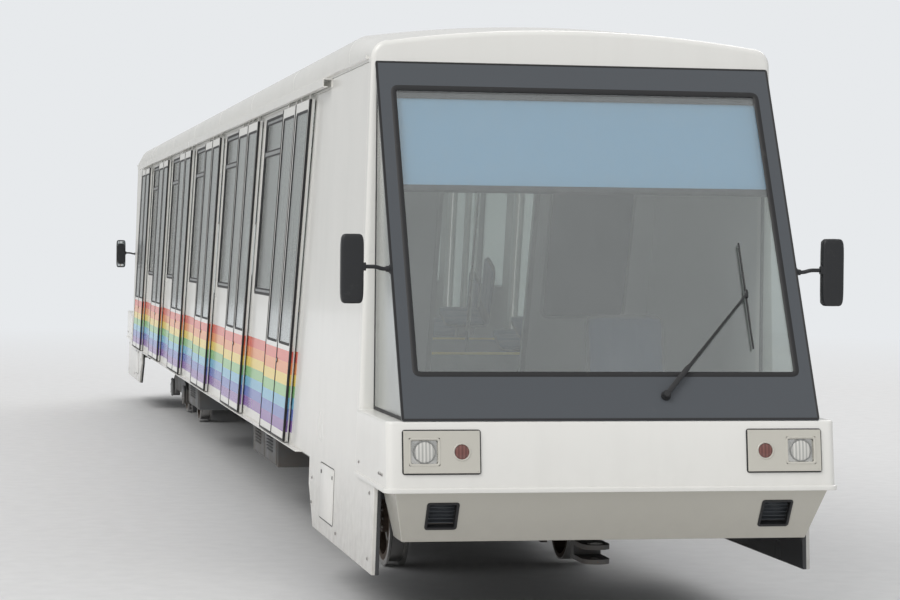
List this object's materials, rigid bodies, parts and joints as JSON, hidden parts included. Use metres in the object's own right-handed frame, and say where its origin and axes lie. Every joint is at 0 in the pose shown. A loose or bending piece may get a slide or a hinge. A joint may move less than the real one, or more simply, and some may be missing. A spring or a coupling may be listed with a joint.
{
  "type": "funicular railway car",
  "caption": "white funicular car with a leaning post line, raked glazed cabs at both ends, a band of colours below the windows, outside sliding doors and two bogies",
  "frame": {"origin": "middle of the car on the level of the wheel flanges' lowest points", "axes": "X across the track, Y along the track and downhill, Z square to the track; the track's own slope is taken out, so the car stands level"},
  "size_m": [2.916, 23.528, 3.5448],
  "materials": {
    "body_white": "gloss white coach paint, with a band of seven colours below the windows",
    "chin_grey": "satin light grey paint",
    "desk_grey": "grey desk",
    "floor_grey": "ribbed floor covering",
    "frame_alu": "anodised window frames",
    "glass_clear": "slightly green safety glass",
    "lamp_bezel": "pale grey moulded bezel",
    "lens_clear": "clear ribbed lens",
    "lens_red": "red lens",
    "lining_grey": "pale grey lining",
    "mirror_black": "black moulded housing",
    "pole_steel": "brushed grab poles",
    "runner_grey": "aluminium section",
    "screen_black": "satin black frame",
    "seat_cloth": "dark seat covers",
    "sign_blue": "plain light blue panel",
    "steel_wheel": "turned steel with brown weathering",
    "under_grey": "dark grey chassis paint",
    "wiper_black": "black rubber and arm"
  },
  "bodies": {
    "car": {"bolsters": "under_grey", "bulkheads": "lining_grey", "cab_floors": "floor_grey", "cross_members": "under_grey", "door_runner_left": "runner_grey", "door_runner_right": "runner_grey", "downhill_brow": "body_white", "downhill_cab_side_left": "body_white", "downhill_cab_side_right": "body_white", "downhill_chin": "chin_grey", "downhill_nose": "body_white", "downhill_portal": "body_white", "downhill_screen_frame": "screen_black", "driver_desks": "desk_grey", "driver_seats": "seat_cloth", "equipment_boxes": "under_grey", "grab_poles": "pole_steel", "head_lamps": "lens_clear", "lamp_housings": "lamp_bezel", "main_beams": "under_grey", "mirrors": "mirror_black", "outer_sills": "under_grey", "passenger_seats": "seat_cloth", "quarter_glass": "glass_clear", "roof": "body_white", "rope_anchors": "under_grey", "side_glass_left": "glass_clear", "side_glass_right": "glass_clear", "side_wall_left": "body_white", "side_wall_right": "body_white", "sign_panels": "sign_blue", "stepped_floor": "floor_grey", "tail_lamps": "lens_red", "uphill_brow": "body_white", "uphill_cab_side_left": "body_white", "uphill_cab_side_right": "body_white", "uphill_chin": "chin_grey", "uphill_nose": "body_white", "uphill_portal": "body_white", "uphill_screen_frame": "screen_black", "window_frames_left": "frame_alu", "window_frames_right": "frame_alu", "windscreens": "glass_clear"},
    "uphill_leaves_left": {"uphill_leaves_left": "body_white", "uphill_leaf_glass_left": "glass_clear"},
    "downhill_leaves_left": {"downhill_leaves_left": "body_white", "downhill_leaf_glass_left": "glass_clear"},
    "uphill_leaves_right": {"uphill_leaves_right": "body_white", "uphill_leaf_glass_right": "glass_clear"},
    "downhill_leaves_right": {"downhill_leaves_right": "body_white", "downhill_leaf_glass_right": "glass_clear"},
    "uphill_wiper": {"uphill_wiper": "wiper_black"},
    "uphill_bogie": {"uphill_bogie_frame": "under_grey"},
    "uphill_first_axle": {"uphill_first_axle": "steel_wheel"},
    "uphill_second_axle": {"uphill_second_axle": "steel_wheel"},
    "downhill_wiper": {"downhill_wiper": "wiper_black"},
    "downhill_bogie": {"downhill_bogie_frame": "under_grey"},
    "downhill_first_axle": {"downhill_first_axle": "steel_wheel"},
    "downhill_second_axle": {"downhill_second_axle": "steel_wheel"}
  },
  "joints": [
    {"name": "uphill_bogie_turn", "type": "hinge", "parent": "car", "child": "uphill_bogie", "pos_m": [0, -7.2, 0.5], "axis": [0, 0, 1], "range_deg": [-4, 4]},
    {"name": "uphill_first_axle_spin", "type": "hinge", "parent": "uphill_bogie", "child": "uphill_first_axle", "pos_m": [0, -8.1, 0.328], "axis": [1, 0, 0], "continuous": true},
    {"name": "uphill_second_axle_spin", "type": "hinge", "parent": "uphill_bogie", "child": "uphill_second_axle", "pos_m": [0, -6.3, 0.328], "axis": [1, 0, 0], "continuous": true},
    {"name": "uphill_wiper_swing", "type": "hinge", "parent": "car", "child": "uphill_wiper", "pos_m": [0.31, -11.63082, 1.36309], "axis": [0, -0.8873, 0.4612], "range_deg": [0, 75]},
    {"name": "downhill_bogie_turn", "type": "hinge", "parent": "car", "child": "downhill_bogie", "pos_m": [0, 7.2, 0.5], "axis": [0, 0, 1], "range_deg": [-4, 4]},
    {"name": "downhill_first_axle_spin", "type": "hinge", "parent": "downhill_bogie", "child": "downhill_first_axle", "pos_m": [0, 6.3, 0.328], "axis": [1, 0, 0], "continuous": true},
    {"name": "downhill_second_axle_spin", "type": "hinge", "parent": "downhill_bogie", "child": "downhill_second_axle", "pos_m": [0, 8.1, 0.328], "axis": [1, 0, 0], "continuous": true},
    {"name": "downhill_wiper_swing", "type": "hinge", "parent": "car", "child": "downhill_wiper", "pos_m": [-0.31, 11.63082, 1.36309], "axis": [0, 0.8873, 0.4612], "range_deg": [0, 75]},
    {"name": "uphill_leaves_left_slide", "type": "slide", "parent": "car", "child": "uphill_leaves_left", "axis": [0, -1, 0], "range_m": [0, 0.7]},
    {"name": "downhill_leaves_left_slide", "type": "slide", "parent": "car", "child": "downhill_leaves_left", "axis": [0, 1, 0], "range_m": [0, 0.7]},
    {"name": "uphill_leaves_right_slide", "type": "slide", "parent": "car", "child": "uphill_leaves_right", "axis": [0, -1, 0], "range_m": [0, 0.7]},
    {"name": "downhill_leaves_right_slide", "type": "slide", "parent": "car", "child": "downhill_leaves_right", "axis": [0, 1, 0], "range_m": [0, 0.7]}
  ],
  "couplings": [
    {"joint": "downhill_leaves_left_slide", "follows": "uphill_leaves_left_slide", "ratio": 1},
    {"joint": "downhill_leaves_right_slide", "follows": "uphill_leaves_right_slide", "ratio": 1}
  ]
}
